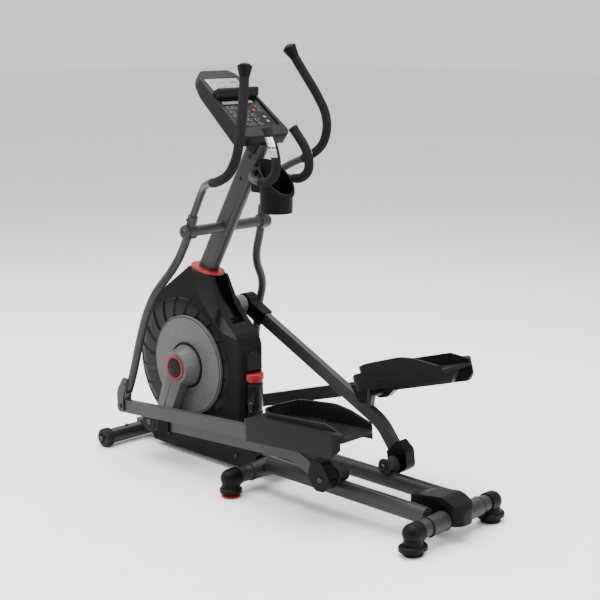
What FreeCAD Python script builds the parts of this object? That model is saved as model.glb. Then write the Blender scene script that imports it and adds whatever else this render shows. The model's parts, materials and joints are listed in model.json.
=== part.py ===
"""Elliptical trainer with a front drive, roller legs on a rail and swinging handles.

Frame: +X to the rear (rail end), -Y to the user's left, +Z up, origin on the floor half way
between the front and rear stabilisers.  Millimetres and degrees.
"""
import FreeCAD, Part
import math
import os

V = FreeCAD.Vector
doc = FreeCAD.newDocument("trainer")
sheet = doc.addObject("Spreadsheet::Sheet", "dims")

DIMENSIONS = {
    "stab_reach": 807,          # stabiliser axis from the origin, front and rear
    "stab_radius": 30,
    "tube_wall": 2.5,
    "front_half": 204,
    "wheel_radius": 38,
    "wheel_width": 36,
    "mid_x": -17,
    "mid_height": 70,
    "mid_half": 262,
    "mid_foot_y": 259,
    "rear_height": 74,
    "rear_half": 214,
    "rear_foot_y": 210,
    "foot_radius": 35,
    "foot_thick": 12,
    "rail_y": 95,
    "rail_width": 50,
    "rail_depth": 62,
    "rail_top": 122,
    "beam_width": 60,
    "beam_depth": 60,
    "mast_length": 85,
    "mast_width": 48,
    "mast_lean": 30,
    "pivot_x": -308,
    "pivot_z": 938,
    "pivot_radius": 20,
    "swing_length": 793,
    "arm_tube_radius": 16,
    "crank_x": -468,
    "crank_z": 378,
    "crank_throw": 246,
    "crank_angle": 247.2,
    "disc_radius": 196,
    "disc_inner_y": 62,
    "disc_thick": 13,
    "crank_outer_y": 134,
    "shroud_half": 58,
    "shroud_wall": 3,
    "housing_x": -498,
    "shroud_radius": 270,
    "leg_y": 168,
    "leg_width": 28,
    "leg_depth": 50,
    "leg_chord": 932,
    "roller_z": 142,
    "roller_waist": 19.5,
    "roller_flange": 30,
    "roller_width": 54,
    "hinge_along": 693,
    "hinge_above": 54,
    "arm_inner_y": 246,
    "arm_outer_y": 270,
    "arm_depth": 50,
    "plate_inner_y": 95,
    "plate_outer_y": 287,
    "plate_start": 716,
    "plate_end": 1185,
    "console_tilt": 37.1,
    "console_length": 345,
    "console_crown": 32,
    "console_width": 240,
    "console_depth": 44,
    "cup_radius": 64,
    "bottle_radius": 36.5,
    "running_gap": 0.05,
    "air_gap": 0.3,
}


def fill_sheet():
    for row, (alias, value) in enumerate(DIMENSIONS.items(), start=1):
        sheet.set(f"A{row}", alias)
        sheet.set(f"B{row}", str(value))
        sheet.setAlias(f"B{row}", alias)
    doc.recompute()


fill_sheet()


class Sizes:
    """Reads a driving dimension from the sheet by its alias."""

    def __getattr__(self, alias):
        return float(sheet.get(alias))


S = Sizes()
nodes = []


# ---- document object helpers -------------------------------------------------------------

def keep(obj, label):
    """Marks an object as a finished sub-part."""
    obj.Label = label
    nodes.append(obj)
    return obj


def feature(label, shape, placement=None):
    obj = doc.addObject("Part::Feature", label)
    obj.Shape = shape
    if placement is not None:
        obj.Placement = placement
    return keep(obj, label)


def bind(obj, **expressions):
    for prop, text in expressions.items():
        obj.setExpression(prop, str(text))


def cylinder(name, radius, height, base, turn=None):
    obj = doc.addObject("Part::Cylinder", name)
    bind(obj, Radius=radius, Height=height)
    obj.Placement = FreeCAD.Placement(V(*base), turn or FreeCAD.Rotation())
    return obj


def box(name, length, width, height, base, turn=None):
    obj = doc.addObject("Part::Box", name)
    bind(obj, Length=length, Width=width, Height=height)
    obj.Placement = FreeCAD.Placement(V(*base), turn or FreeCAD.Rotation())
    return obj


def fuse(name, parts):
    obj = doc.addObject("Part::MultiFuse", name)
    obj.Shapes = parts
    obj.Refine = True
    return obj


ALONG_Y = FreeCAD.Rotation(V(1, 0, 0), -90)      # a cylinder's axis turned from +Z to +Y


def origin_plane(body, role):
    return next(o for o in body.Origin.OriginFeatures if o.Role == role)


def sketch_on(body, role, edges):
    sketch = body.newObject("Sketcher::SketchObject", body.Name + "_sketch")
    sketch.AttachmentSupport = [(origin_plane(body, role), "")]
    sketch.MapMode = "FlatFace"
    sketch.addGeometry(edges, False)
    return sketch


def turned_body(label, edges, placement):
    """A PartDesign body of revolution about its own X axis, then placed."""
    body = doc.addObject("PartDesign::Body", label)
    sketch = sketch_on(body, "XY_Plane", edges)
    turn = body.newObject("PartDesign::Revolution", label + "_turn")
    turn.Profile = sketch
    turn.ReferenceAxis = (sketch, ["H_Axis"])
    turn.Angle = 360
    sketch.Visibility = False
    body.Placement = placement
    return body


# ---- outline helpers ---------------------------------------------------------------------

def line(a, b):
    return Part.LineSegment(V(*a, 0), V(*b, 0))


def polygon(points):
    return [line(a, b) for a, b in zip(points, points[1:] + points[:1])]


def corner(before, at, after, radius):
    """Tangent points and middle point of the arc that rounds one corner (3D)."""
    a = (before - at).normalize()
    b = (after - at).normalize()
    half = a.getAngle(b) / 2
    reach = radius / math.tan(half)
    start = at + a * reach
    end = at + b * reach
    middle = at + (a + b).normalize() * (radius / math.sin(half) - radius)
    return start, middle, end


def rounded(points, radii):
    """Sketch edges of a closed outline with one corner radius for each point (0 = sharp)."""
    flat = [V(x, y, 0) for x, y in points]
    count = len(flat)
    stops = []
    for i, at in enumerate(flat):
        if radii[i] == 0:
            stops.append((at, None, at))
        else:
            stops.append(corner(flat[i - 1], at, flat[(i + 1) % count], radii[i]))
    edges = []
    for i, (start, middle, end) in enumerate(stops):
        if middle is not None:
            edges.append(Part.Arc(start, middle, end))
        following = stops[(i + 1) % count][0]
        if end.distanceToPoint(following) > 1e-6:
            edges.append(Part.LineSegment(end, following))
    return edges


def rounded_box_edges(x0, y0, x1, y1, radius):
    return rounded([(x0, y0), (x1, y0), (x1, y1), (x0, y1)], [radius] * 4)


# maps a drawing's (x, y) to the model's (x, z)
SIDE_VIEW = FreeCAD.Placement(V(0, 0, 0), FreeCAD.Rotation(V(1, 0, 0), 90))


def side_prism(edges, y0, y1):
    """A side-view outline (x, z) made solid between two y values."""
    face = Part.Face(Part.Wire([e.toShape() for e in edges]))
    face.Placement = SIDE_VIEW
    face.translate(V(0, y0, 0))
    return face.extrude(V(0, y1 - y0, 0))


FRONT_VIEW = FreeCAD.Placement(V(0, 0, 0), FreeCAD.Rotation(V(1, 1, 1), 120))


def front_prism(edges, x0, x1):
    """A front-view outline (y, z) made solid between two x values."""
    face = Part.Face(Part.Wire([e.toShape() for e in edges]))
    face.Placement = FRONT_VIEW
    face.translate(V(x0, 0, 0))
    return face.extrude(V(x1 - x0, 0, 0))


def plan_prism(edges, z0, z1):
    face = Part.Face(Part.Wire([e.toShape() for e in edges]))
    face.translate(V(0, 0, z0))
    return face.extrude(V(0, 0, z1 - z0))


def rod(radius, start, end):
    """A solid cylinder between two points."""
    axis = V(*end) - V(*start)
    return Part.makeCylinder(radius, axis.Length, V(*start), axis)


def bent_path(points, radii):
    """Straight runs joined by tangent arcs."""
    spots = [V(*p) for p in points]
    edges = []
    here = spots[0]
    for i in range(1, len(spots) - 1):
        start, middle, end = corner(spots[i - 1], spots[i], spots[i + 1], radii[i - 1])
        if here.distanceToPoint(start) > 1e-6:
            edges.append(Part.LineSegment(here, start).toShape())
        edges.append(Part.Arc(start, middle, end).toShape())
        here = end
    edges.append(Part.LineSegment(here, spots[-1]).toShape())
    return Part.Wire(edges)


def bend_radii(points):
    """The largest tangent arcs that each pair of neighbouring runs allows."""
    spots = [V(*p) for p in points]
    last = len(spots) - 2
    room = []
    for i in range(last + 1):
        share = 0.9 if i in (0, last) and last > 0 else 0.45
        room.append(share * spots[i].distanceToPoint(spots[i + 1]))
    radii = []
    for i in range(last):
        half_turn = (spots[i + 1] - spots[i]).getAngle(spots[i + 2] - spots[i + 1]) / 2
        radii.append(min(room[i], room[i + 1]) / math.tan(half_turn))
    return radii


def split_path(points, index):
    """Two paths that meet half way along the run before a point."""
    middle = tuple((a + b) / 2 for a, b in zip(points[index - 1], points[index]))
    return points[:index] + [middle], [middle] + points[index:]


def bent_tube(points, radius):
    path = bent_path(points, bend_radii(points))
    start = V(*points[0])
    direction = V(*points[1]) - start
    ring = Part.Wire(Part.makeCircle(radius, start, direction))
    return path.makePipeShell([ring], True, False)


def side_name(side):
    return "left" if side < 0 else "right"


SIDES = (-1, 1)      # -1 is the user's left, at -Y


# ---- floor frame -------------------------------------------------------------------------

def front_stabiliser():
    """Cross tube with closed ends that carry the transport wheels' axle stubs."""
    reach = S.front_half
    start = (-S.stab_reach, -reach, S.wheel_radius)
    tube = cylinder("front_tube", "dims.stab_radius", "2 * dims.front_half", start, ALONG_Y)
    parts = [tube]
    stub = S.wheel_width + 8
    for side in SIDES:
        base = (-S.stab_reach, side * reach if side > 0 else -reach - stub, S.wheel_radius)
        parts.append(cylinder("wheel_axle_" + side_name(side), 6, stub, base, ALONG_Y))
    saddle = box("front_saddle", 70, 96, 30, (-S.stab_reach - 20, -48, S.wheel_radius + 12))
    parts.append(saddle)
    keep(fuse("front_stabiliser_solid", parts), "front_stabiliser")


def transport_wheel(side):
    """Roller on the end of the front stabiliser, with rounded rims and a hub recess."""
    radius = S.wheel_radius
    width = S.wheel_width
    bore = 6 + S.running_gap
    inner = S.front_half + S.air_gap
    profile = [(0, bore), (0, radius - 4), (4, radius), (width - 6, radius),
               (width, radius - 6), (width, 20), (width - 5, 17), (width - 5, bore)]
    turn = FreeCAD.Rotation(V(0, 0, 1), 90 * side)
    place = FreeCAD.Placement(V(-S.stab_reach, side * inner, radius), turn)
    label = "wheel_" + side_name(side)
    keep(turned_body(label, polygon(profile), place), label)


def middle_stabiliser():
    base = (S.mid_x, -S.mid_half, S.mid_height)
    tube = cylinder("mid_tube", "dims.stab_radius - 1", "2 * dims.mid_half", base, ALONG_Y)
    sleeve = cylinder("mid_sleeve", "dims.stab_radius + 3", 330, (S.mid_x, -165, S.mid_height),
                      ALONG_Y)
    keep(fuse("mid_solid", [tube, sleeve]), "mid_stabiliser")


def rear_stabiliser():
    base = (S.stab_reach, -S.rear_half, S.rear_height)
    parts = [cylinder("rear_tube", "dims.stab_radius", "2 * dims.rear_half", base, ALONG_Y)]
    for side in SIDES:
        start = (S.stab_reach, side * S.rail_y - 42, S.rear_height)
        name = "rear_sleeve_" + side_name(side)
        parts.append(cylinder(name, "dims.stab_radius + 4", 84, start, ALONG_Y))
    keep(fuse("rear_solid", parts), "rear_stabiliser")


def foot_cap(x, y, height, side, stretch):
    """Moulded end cap: dome over the tube's end and an oblong skirt over the foot's stem."""
    tube = S.stab_radius + 5
    start = V(x, y - side * 30, height)
    barrel = Part.makeCylinder(tube, 34, start, V(0, side, 0))
    dome = Part.makeSphere(tube, V(x, y + side * 4, height), V(0, side, 0), 0, 90)
    neck = Part.makeCone(38, 30, height - 22, V(x, y, 20))
    skirt = plan_prism(rounded_box_edges(x - 41, y - 41 - stretch, x + 41, y + 41 + stretch,
                                         40), 18, 38)
    skirt = skirt.makeChamfer(7, [e for e in skirt.Edges if e.BoundBox.ZMin > 37])
    solid = barrel.multiFuse([dome, neck, skirt])
    hollow = Part.makeCylinder(S.stab_radius, 400, V(x, y + side * 5, height), V(0, -side, 0))
    stem_hole = Part.makeCylinder(8 + S.running_gap, 34, V(x, y, 10))
    floor_trim = Part.makeBox(200, 200, 18, V(x - 100, y - 100, 0))
    return solid.cut([hollow, stem_hole, floor_trim]).removeSplitter()


def foot_caps():
    caps = []
    for side in SIDES:
        caps.append(foot_cap(S.mid_x, side * S.mid_foot_y, S.mid_height, side, 0.01))
        caps.append(foot_cap(S.stab_reach, side * S.rear_foot_y, S.rear_height, side, 12))
    feature("foot_caps", Part.makeCompound(caps))


def levelling_foot(label, x, y):
    """Foot disc with a stepped rim on a threaded stem."""
    radius = S.foot_radius
    profile = [(0, 0), (0, radius - 2), (2, radius), (7, radius), (S.foot_thick, radius - 8),
               (S.foot_thick, 14), (17, 11), (17, 8), (40, 8), (40, 0)]
    place = FreeCAD.Placement(V(x, y, 0), FreeCAD.Rotation(V(0, 1, 0), -90))
    keep(turned_body(label, polygon(profile), place), label)


def rail(side):
    """Oval track tube between the middle and rear stabilisers."""
    half = S.rail_width / 2
    low = S.rail_top - S.rail_depth
    centre = side * S.rail_y
    start = S.mid_x + 34
    end = S.stab_reach - 35
    outer = rounded_box_edges(low, -half, S.rail_top, half, half - 1)
    wall = S.tube_wall
    inner = rounded_box_edges(low + wall, -half + wall, S.rail_top - wall, half - wall,
                              half - 1 - wall)
    place = FreeCAD.Placement(V(start, centre, 0), FreeCAD.Rotation(V(0, 1, 0), -90))
    solid = Part.Face(Part.Wire([e.toShape() for e in outer])).extrude(V(0, 0, start - end))
    hollow = Part.Face(Part.Wire([e.toShape() for e in inner])).extrude(V(0, 0, start - end))
    cap = Part.Face(Part.Wire([e.toShape() for e in inner])).extrude(V(0, 0, -4))
    rear_cap = cap.translated(V(0, 0, start - end + 4))
    tube = solid.cut(hollow).multiFuse([cap, rear_cap]).removeSplitter()
    feature("rail_" + side_name(side), tube, place)


def rear_cover():
    """Rounded centre cover over the rear stabiliser, tapering forward between the rails."""
    plan = rounded([(640, -34), (716, -50), (868, -50), (868, 50), (716, 50), (640, 34)],
                   [20, 60, 40, 40, 60, 20])
    side = rounded([(640, 60), (868, 60), (868, 120), (800, 152), (700, 138), (640, 118)],
                   [0, 0, 40, 60, 60, 14])
    solid = plan_prism(plan, 58, 160).common(side_prism(side, -60, 60))
    tube = rod(S.stab_radius + 0.05, (S.stab_reach, -80, S.rear_height),
               (S.stab_reach, 80, S.rear_height))
    feature("rear_cover", solid.cut(tube).removeSplitter())


def main_frame():
    """Centre beam with the upright that carries the crank bearing and the flywheel fork."""
    low = 26
    half = S.beam_width / 2
    front = -S.stab_reach + 50.3
    beam = Part.makeBox(S.mid_x - 31 - front, S.beam_width, S.beam_depth,
                        V(front, -half, low))
    rear_yoke = Part.makeBox(30, 120, 40, V(S.mid_x - 62, -60, 40))
    upright = side_prism(rounded([(-505, 80), (-440, 80), (-436, 400), (-404, 668),
                                  (-454, 676), (-500, 400)], [0, 0, 30, 10, 10, 30]), -10, 10)
    fork = side_prism(rounded([(-545, 80), (-500, 80), (-500, 330), (-575, 285)],
                              [0, 0, 0, 20]), -8, 8)
    sleeve = rod(24, (S.crank_x, -12, S.crank_z), (S.crank_x, 12, S.crank_z))
    solid = beam.multiFuse([rear_yoke, upright, fork, sleeve])
    bore = rod(12 + S.running_gap, (S.crank_x, -60, S.crank_z), (S.crank_x, 60, S.crank_z))
    axle = rod(8 + S.running_gap, (-554, -60, 255), (-554, 60, 255))
    saddle = rod(S.stab_radius + 3 + S.air_gap, (S.mid_x, -80, S.mid_height),
                 (S.mid_x, 80, S.mid_height))
    feature("main_frame", solid.cut([bore, axle, saddle]).removeSplitter())


def lower_cover():
    """Trough-shaped moulding round the centre beam below the shroud."""
    side = rounded([(-700, 22), (-110, 22), (-90, 44), (-90, 90), (-150, 112), (-700, 112)],
                   [12, 20, 8, 10, 10, 20])
    solid = side_prism(side, -62, 62)
    half = S.beam_width / 2 + S.air_gap
    channel = Part.makeBox(900, 2 * half, 200, V(-800, -half, 26 - S.air_gap))
    shell_bottom = Part.makeBox(900, 200, 60, V(-800, -100, 20 - 60))
    feature("lower_cover", solid.cut([channel, shell_bottom]).removeSplitter())


# ---- mast and top of the frame -----------------------------------------------------------

MAST_TOP = 1276


def mast_point(height):
    """Centre of the mast at a height."""
    slope = math.tan(math.radians(S.mast_lean))
    return V(S.pivot_x - 8 + (height - S.pivot_z) * slope, 0, height)


def mast_prism(extra, height, below, above):
    """The mast's outline grown by extra, as a leaning solid about one height."""
    half = S.mast_length / 2 + extra
    side = S.mast_width / 2 + extra
    solid = plan_prism(rounded_box_edges(-half, -side, half, side, side - 2), -below, above)
    solid.Placement = FreeCAD.Placement(mast_point(height),
                                        FreeCAD.Rotation(V(0, 1, 0), S.mast_lean))
    return solid


def mast():
    """Rounded oval tube leaning back to the console."""
    half = S.mast_length / 2
    side = S.mast_width / 2
    outer = rounded_box_edges(-half, -side, half, side, side - 2)
    wall = S.tube_wall
    inner = rounded_box_edges(-half + wall, -side + wall, half - wall, side - wall,
                              side - 2 - wall)
    start = mast_point(705)
    length = (MAST_TOP - 705) / math.cos(math.radians(S.mast_lean))
    place = FreeCAD.Placement(start, FreeCAD.Rotation(V(0, 1, 0), S.mast_lean))
    tube = plan_prism(outer, 0, length).cut(plan_prism(inner, 4, length - 4))
    tube.Placement = place
    cross = rod(S.pivot_radius, (S.pivot_x, -80, S.pivot_z), (S.pivot_x, 80, S.pivot_z))
    feature("mast", tube.cut(cross))


COLLAR_TILT = 11.6
COLLAR_HEIGHT = 757


def collar_place():
    return FreeCAD.Placement(mast_point(COLLAR_HEIGHT),
                             FreeCAD.Rotation(V(0, 1, 0), COLLAR_TILT))


def mast_collar():
    """Tilted oval flange that closes the housing's neck round the mast."""
    ring = plan_prism(rounded_box_edges(-74, -49, 74, 49, 48), 0, 9)
    ring = ring.makeFillet(3.5, [e for e in ring.Edges if e.BoundBox.ZMin > 8])
    ring.Placement = collar_place()
    feature("mast_collar", ring.cut(mast_prism(0.1, COLLAR_HEIGHT, 60, 60)))


def pivot_tube():
    """Cross tube through the mast on which both swing arms turn, with end caps."""
    base = (S.pivot_x, -214, S.pivot_z)
    tube = cylinder("pivot_core", "dims.pivot_radius", 428, base, ALONG_Y)
    caps = []
    for side in SIDES:
        start = (S.pivot_x, 202 if side > 0 else -214, S.pivot_z)
        caps.append(cylinder("pivot_cap_" + side_name(side), "dims.pivot_radius + 5", 12,
                             start, ALONG_Y))
        ring_y = 160 if side > 0 else -168
        caps.append(cylinder("pivot_ring_" + side_name(side), "dims.pivot_radius + 4", 8,
                             (S.pivot_x, ring_y, S.pivot_z), ALONG_Y))
    keep(fuse("pivot_solid", [tube] + caps), "pivot_tube")


# ---- shroud ------------------------------------------------------------------------------

def housing_circle(angle):
    turn = math.radians(angle)
    return (S.housing_x + S.shroud_radius * math.cos(turn),
            S.crank_z + S.shroud_radius * math.sin(turn))


HOUSING_FLOOR = 114
HOUSING_REAR = [(-655, 640), (-480, 769), (-352, 742), (-328, 684), (-304, 634), (-252, 580),
                (-204, 538), (-174, 486), (-160, 430), (-160, HOUSING_FLOOR)]


def housing_outline():
    """Side view of the drive housing: a wheel-like front that rises to the neck."""
    low = 180 + math.degrees(math.asin((S.crank_z - HOUSING_FLOOR) / S.shroud_radius))
    start = housing_circle(low)
    end = housing_circle(140)
    arc = Part.Arc(V(*start, 0), V(*housing_circle(190), 0), V(*end, 0))
    rest = [end] + HOUSING_REAR + [start]
    return [arc] + [line(a, b) for a, b in zip(rest, rest[1:])]


def housing_block(inset):
    """The housing's full solid, its faces moved inward by inset."""
    face = Part.Face(Part.Wire([e.toShape() for e in housing_outline()]))
    if inset:
        face = face.makeOffset2D(-inset)
    face.Placement = SIDE_VIEW
    face.translate(V(0, -S.shroud_half - 1, 0))
    side = face.extrude(V(0, 2 * S.shroud_half + 2, 0))
    wide = S.shroud_half - inset
    neck = wide - 14
    front = front_prism(polygon([(-wide, 90), (wide, 90), (wide, 600), (neck, 750), (neck, 800),
                                 (-neck, 800), (-neck, 750), (-wide, 600)]), -900, -100)
    plan = plan_prism(rounded([(-900, -wide), (-160 - inset, -wide), (-160 - inset, wide),
                               (-900, wide)], [0, 34 - inset, 34 - inset, 0]), 0, 900)
    return side.common(front).common(plan)


POCKET_LOW = 176
POCKET_HIGH = 396


def bottle_pocket(grow):
    """Slot at the back of the housing that the bottle stands in."""
    half = 41 + grow
    return Part.makeBox(120, 2 * half, POCKET_HIGH - POCKET_LOW + 2 * grow,
                        V(-208 - grow, -half, POCKET_LOW - grow))


def chute(grow):
    """Scoop down the back of the housing's neck."""
    path = [(-388, 800), (-388, 742), (-372, 700), (-342, 648), (-300, 600), (-264, 572),
            (-200, 572), (-200, 800)]
    face = Part.Face(Part.Wire([e.toShape() for e in polygon(path)]))
    if grow:
        face = face.makeOffset2D(grow)
    face.Placement = SIDE_VIEW
    face.translate(V(0, -33 - grow, 0))
    return face.extrude(V(0, 66 + 2 * grow, 0))


def top_region(drop):
    """Everything on the glossy cap's side of its parting line, moved down by drop."""
    return side_prism(polygon([(-462, 800), (-462, 762 - drop), (-433, 686 - drop),
                               (-389, 628 - drop), (-270, 534 - drop), (-100, 506 - drop),
                               (-100, 800)]), -90, 90)


def top_plane_trim():
    """Clears the space above the collar's underside and the mast's own passage."""
    above = Part.makeBox(400, 200, 100, V(-200, -100, -0.3))
    above.Placement = collar_place().multiply(above.Placement)
    return [above, mast_prism(0.5, COLLAR_HEIGHT, 80, 80)]


def shroud_half(side):
    """One hollow moulded half, with half of the bottle pocket."""
    wall = S.shroud_wall
    inner = housing_block(wall).cut(bottle_pocket(wall))
    keep_side = Part.makeBox(1000, 100, 900, V(-950, 0 if side > 0 else -100, 0))
    hole = rod(30, (S.crank_x, -100, S.crank_z), (S.crank_x, 100, S.crank_z))
    floor_slot = Part.makeBox(120, 22, 10, V(-553, -11, 110))
    shell = housing_block(0).cut([bottle_pocket(0), inner, top_region(0.3), hole, floor_slot]
                                 + top_plane_trim())
    feature("shroud_" + side_name(side), shell.common(keep_side).removeSplitter())


def shroud_top():
    """Glossy neck under the collar with a scooped chute facing the user."""
    inner = housing_block(S.shroud_wall).cut(chute(S.shroud_wall))
    shell = housing_block(0).common(top_region(0))
    feature("shroud_top", shell.cut([chute(0), inner] + top_plane_trim()).removeSplitter())


# ---- drive -------------------------------------------------------------------------------

def crank_axle():
    base = (S.crank_x, -S.crank_outer_y + 2, S.crank_z)
    length = "2 * dims.crank_outer_y - 4"
    keep(cylinder("crank_axle_rod", 12, length, base, ALONG_Y), "crank_axle")


def crank_pin(side):
    """Crank pin centre in the side view; the right crank is half a turn on."""
    angle = math.radians(S.crank_angle + (0 if side < 0 else 180))
    return (S.crank_x + S.crank_throw * math.cos(angle),
            S.crank_z + S.crank_throw * math.sin(angle))


def crank_arm(side):
    """Cast crank: coned hub, tapering arm and a boss at the pin."""
    inner = S.disc_inner_y + S.disc_thick + 2
    outer = S.crank_outer_y
    pin_x, pin_z = crank_pin(side)
    hub = Part.makeCone(82, 62, outer - inner, V(S.crank_x, side * inner, S.crank_z),
                        V(0, side, 0))
    boss_start = (pin_x, side * (inner + 18), pin_z)
    boss = rod(38, boss_start, (pin_x, side * outer, pin_z))
    along = V(pin_x - S.crank_x, 0, pin_z - S.crank_z).normalize()
    across = V(-along.z, 0, along.x)
    centre = V(S.crank_x, 0, S.crank_z)
    pin = V(pin_x, 0, pin_z)
    corners = [centre + across * 52, pin + across * 37, pin - across * 37, centre - across * 52]
    outline = polygon([(p.x, p.z) for p in corners])
    arm = side_prism(outline, side * (inner + 12), side * (outer - 2))
    groove = rod(7, tuple(centre + along * 80 + V(0, side * (outer + 2), 0)),
                 tuple(centre + along * 200 + V(0, side * (outer + 2), 0)))
    bore = rod(12, (S.crank_x, -300, S.crank_z), (S.crank_x, 300, S.crank_z))
    solid = hub.multiFuse([boss, arm]).cut([groove, bore])
    feature("crank_arm_" + side_name(side), solid.removeSplitter())


def crank_caps():
    """Ring caps over the crank bolts."""
    caps = []
    for side in SIDES:
        start = (S.crank_x, side * S.crank_outer_y, S.crank_z)
        ring = rod(49, start, (S.crank_x, side * (S.crank_outer_y + 5), S.crank_z))
        dish = rod(39, (S.crank_x, side * (S.crank_outer_y + 2.5), S.crank_z),
                   (S.crank_x, side * (S.crank_outer_y + 9), S.crank_z))
        caps.append(ring.cut(dish))
    feature("crank_caps", Part.makeCompound(caps))


def crank_discs():
    """Textured side discs that turn with the cranks."""
    discs = []
    for side in SIDES:
        inner = side * S.disc_inner_y
        outer = side * (S.disc_inner_y + S.disc_thick)
        disc = rod(S.disc_radius, (S.crank_x, inner, S.crank_z), (S.crank_x, outer, S.crank_z))
        rim = [e for e in disc.Edges if e.Length > 100 and abs(e.BoundBox.YMax - outer) < 0.1
               and e.BoundBox.YLength < 0.1]
        disc = disc.makeFillet(5, rim)
        bore = rod(12, (S.crank_x, inner - 20, S.crank_z), (S.crank_x, inner + 20, S.crank_z))
        discs.append(disc.cut(bore))
    feature("crank_discs", Part.makeCompound(discs))


BELT_Y0 = 16
BELT_Y1 = 30
PULLEY_RADIUS = 110
PINION_RADIUS = 20
FLYWHEEL = (-554, 255)
FLYWHEEL_RADIUS = 100


def drive_pulley():
    wheel = rod(PULLEY_RADIUS, (S.crank_x, BELT_Y0 - 2, S.crank_z),
                (S.crank_x, BELT_Y1 + 2, S.crank_z))
    holes = [rod(12, (S.crank_x, 0, S.crank_z), (S.crank_x, 60, S.crank_z))]
    for step in range(6):
        turn = math.radians(60 * step)
        x = S.crank_x + 65 * math.cos(turn)
        z = S.crank_z + 65 * math.sin(turn)
        holes.append(rod(20, (x, 0, z), (x, 60, z)))
    feature("drive_pulley", wheel.cut(holes))


def flywheel():
    """Flywheel disc, axle and small belt pulley in one piece."""
    x, z = FLYWHEEL
    disc = rod(FLYWHEEL_RADIUS, (x, -46, z), (x, -18, z))
    dish = rod(FLYWHEEL_RADIUS - 22, (x, -47, z), (x, -40, z))
    axle = rod(8, (x, -52, z), (x, 50, z))
    pinion = rod(PINION_RADIUS, (x, BELT_Y0 - 2, z), (x, BELT_Y1 + 2, z))
    feature("flywheel", disc.cut(dish).multiFuse([axle, pinion]).removeSplitter())


def belt_loop(extra):
    """Face round both pulleys, offset outward."""
    x, z = FLYWHEEL
    big = PULLEY_RADIUS + extra
    small = PINION_RADIUS + extra
    span = V(x - S.crank_x, z - S.crank_z, 0)
    lean = math.acos((big - small) / span.Length)
    base = math.atan2(span.y, span.x)
    ends = []
    for sign in (1, -1):
        turn = base + sign * lean
        step = (math.cos(turn), math.sin(turn))
        ends.append(((S.crank_x + big * step[0], S.crank_z + big * step[1]),
                     (x + small * step[0], z + small * step[1])))
    (big_a, small_a), (big_b, small_b) = ends
    far_big = (S.crank_x - big * math.cos(base), S.crank_z - big * math.sin(base))
    far_small = (x + small * math.cos(base), z + small * math.sin(base))
    return [line(big_a, small_a), Part.Arc(V(*small_a, 0), V(*far_small, 0), V(*small_b, 0)),
            line(small_b, big_b), Part.Arc(V(*big_b, 0), V(*far_big, 0), V(*big_a, 0))]


def drive_belt():
    outer = side_prism(belt_loop(4.3), BELT_Y0, BELT_Y1)
    inner = side_prism(belt_loop(S.air_gap), BELT_Y0 - 5, BELT_Y1 + 5)
    feature("drive_belt", outer.cut(inner))


# ---- legs, rollers and pedals ------------------------------------------------------------

def leg_pitch(side):
    """Elevation in degrees of the leg's straight part, up towards the rear."""
    pin_x, pin_z = crank_pin(side)
    chord = math.degrees(math.asin((S.roller_z - pin_z) / S.leg_chord))
    return chord + 4.2


def leg_place(side):
    pin_x, pin_z = crank_pin(side)
    return FreeCAD.Placement(V(pin_x, 0, pin_z),
                             FreeCAD.Rotation(V(0, 1, 0), -leg_pitch(side)))


def on_leg(side, along, above):
    """A model point from the leg's own along and above distances."""
    return leg_place(side).multVec(V(along, 0, above))


def roller_centre(side):
    turn = math.radians(-4.2)
    return on_leg(side, S.leg_chord * math.cos(turn), S.leg_chord * math.sin(turn))


LEG_STRAIGHT = 782
LEG_END = (928, -66)


def leg_outline(start):
    """Side view of the leg's bar from a distance along it to its lowered rear end."""
    half = S.leg_depth / 2
    end_x, end_z = LEG_END
    run = math.hypot(end_x - LEG_STRAIGHT, end_z)
    off_x = -end_z / run * half
    off_z = (end_x - LEG_STRAIGHT) / run * half
    return rounded([(start, -half), (LEG_STRAIGHT, -half), (end_x - off_x, end_z - off_z),
                    (end_x + off_x, end_z + off_z), (LEG_STRAIGHT + 12, half), (start, half)],
                   [0, 140, 0, 0, 190, 0])


def leg(side):
    """Rectangular leg that bends down to the roller, with crank pin, hinge ear and axle."""
    half = S.leg_depth / 2
    y0 = S.leg_y - S.leg_width / 2
    y1 = S.leg_y + S.leg_width / 2
    bar = side_prism(leg_outline(0), side * y0, side * y1)
    front = rod(half, (0, side * y0, 0), (0, side * y1, 0))
    pin = rod(9, (0, side * (S.crank_outer_y + 1.2), 0), (0, side * (y1 + 8), 0))
    ear = side_prism(rounded([(S.hinge_along - 28, half - 2), (S.hinge_along + 28, half - 2),
                              (S.hinge_along + 16, S.hinge_above + 17),
                              (S.hinge_along - 16, S.hinge_above + 17)], [0, 0, 12, 12]),
                     side * y0, side * y1)
    hinge = rod(10 + S.running_gap, (S.hinge_along, side * 100, S.hinge_above),
                (S.hinge_along, side * 240, S.hinge_above))
    turn = math.radians(-4.2)
    wheel_x = S.leg_chord * math.cos(turn)
    wheel_z = S.leg_chord * math.sin(turn)
    axle = rod(8, (wheel_x, side * 60, wheel_z), (wheel_x, side * y1, wheel_z))
    tongue = rod(19, (wheel_x, side * y0, wheel_z), (wheel_x, side * y1, wheel_z))
    solid = bar.multiFuse([front, pin, ear, axle, tongue]).cut(hinge)
    feature("leg_" + side_name(side), solid.removeSplitter(), leg_place(side))


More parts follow.
